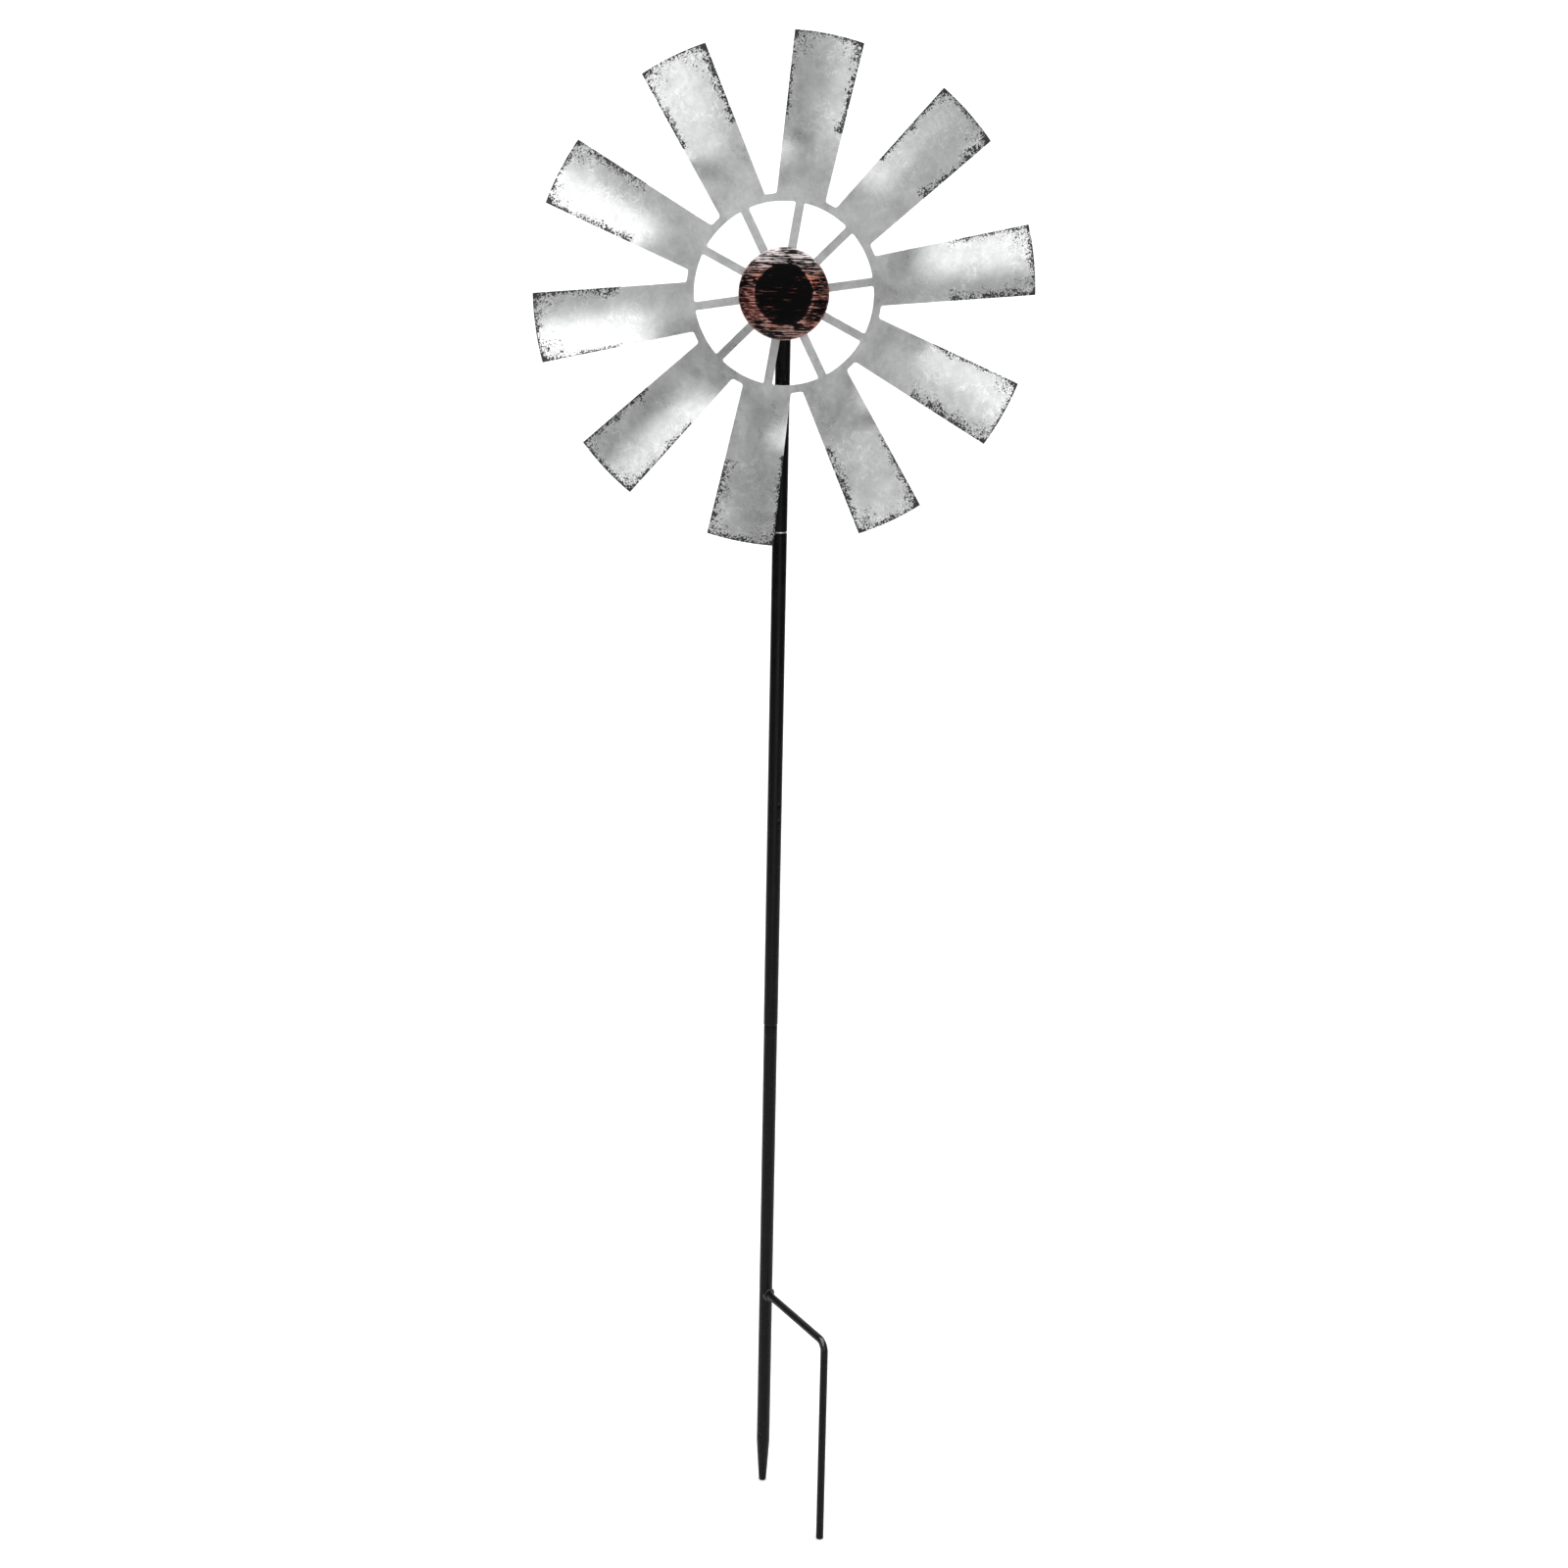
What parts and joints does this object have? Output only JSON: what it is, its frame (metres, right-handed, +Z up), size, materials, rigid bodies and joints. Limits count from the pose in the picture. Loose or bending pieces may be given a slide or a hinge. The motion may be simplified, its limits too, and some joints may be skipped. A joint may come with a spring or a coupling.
{
  "type": "garden windmill",
  "caption": "Staked garden windmill: a multi-bladed sheet-metal wheel with a domed hub turns on ball bearings at the top of a push-together tube pole with a forked ground stake.",
  "frame": {"origin": "on the pole's axis at the ground line, level with the axis of the stake's step arm", "axes": "+Z up the pole; the wheel faces -Y, so its axle lies along Y; +X to the right as seen from the front"},
  "size_m": [0.484, 0.1337, 1.5239],
  "materials": {
    "pole_paint": "semi-gloss black paint",
    "galvanised_sheet": "mottled galvanised sheet with black distressed edges",
    "dome_paint": "black paint brushed through to copper red in streaks, glossy",
    "bare_zinc": "zinc plated",
    "bearing_steel": "ground bearing steel",
    "cage_steel": "pressed steel",
    "black_plastic": "moulded",
    "nylon": "moulded nylon"
  },
  "bodies": {
    "stake": {"ground_tube": "pole_paint", "ground_prong": "pole_paint", "prong_weld": "pole_paint"},
    "pole_middle": {"middle_tube": "pole_paint", "lower_spigot": "pole_paint"},
    "upper_coupler": {"upper_spigot": "bare_zinc"},
    "head": {"upper_tube": "pole_paint", "tube_plug": "black_plastic", "axle_bolt": "bare_zinc", "tube_washers": "bare_zinc", "jam_nut": "bare_zinc", "spacer_sleeve": "bare_zinc", "bearing_spacer": "bare_zinc", "front_washer": "bare_zinc", "lock_nut": "bare_zinc", "lock_nut_insert": "nylon", "rear_inner_race": "bearing_steel", "front_inner_race": "bearing_steel"},
    "rear_ball_set": {"rear_balls": "bearing_steel", "rear_cage": "cage_steel"},
    "front_ball_set": {"front_balls": "bearing_steel", "front_cage": "cage_steel"},
    "wheel": {"rotor": "galvanised_sheet", "hub_housing": "bare_zinc", "hub_dome": "dome_paint", "dome_studs": "bare_zinc", "dome_washers": "bare_zinc", "dome_nuts": "bare_zinc", "rear_outer_race": "bearing_steel", "front_outer_race": "bearing_steel", "rear_shields": "cage_steel", "front_shields": "cage_steel"}
  },
  "joints": [
    {"name": "middle_lift", "type": "slide", "parent": "stake", "child": "pole_middle", "axis": [0, 0, 1], "range_m": [0, 0.058]},
    {"name": "head_lift", "type": "slide", "parent": "pole_middle", "child": "upper_coupler", "axis": [0, 0, 1], "range_m": [0, 0.058]},
    {"name": "head_swivel", "type": "hinge", "parent": "upper_coupler", "child": "head", "pos_m": [0, 0, 0.8], "axis": [0, 0, 1], "continuous": true},
    {"name": "wheel_spin", "type": "hinge", "parent": "head", "child": "wheel", "pos_m": [0, 0, 1.058], "axis": [0, -1, 0], "continuous": true},
    {"name": "rear_balls_roll", "type": "hinge", "parent": "head", "child": "rear_ball_set", "pos_m": [0, 0, 1.058], "axis": [0, -1, 0], "continuous": true},
    {"name": "front_balls_roll", "type": "hinge", "parent": "head", "child": "front_ball_set", "pos_m": [0, 0, 1.058], "axis": [0, -1, 0], "continuous": true}
  ],
  "couplings": [
    {"joint": "rear_balls_roll", "follows": "wheel_spin", "ratio": 0.6323},
    {"joint": "front_balls_roll", "follows": "wheel_spin", "ratio": 0.6323}
  ]
}
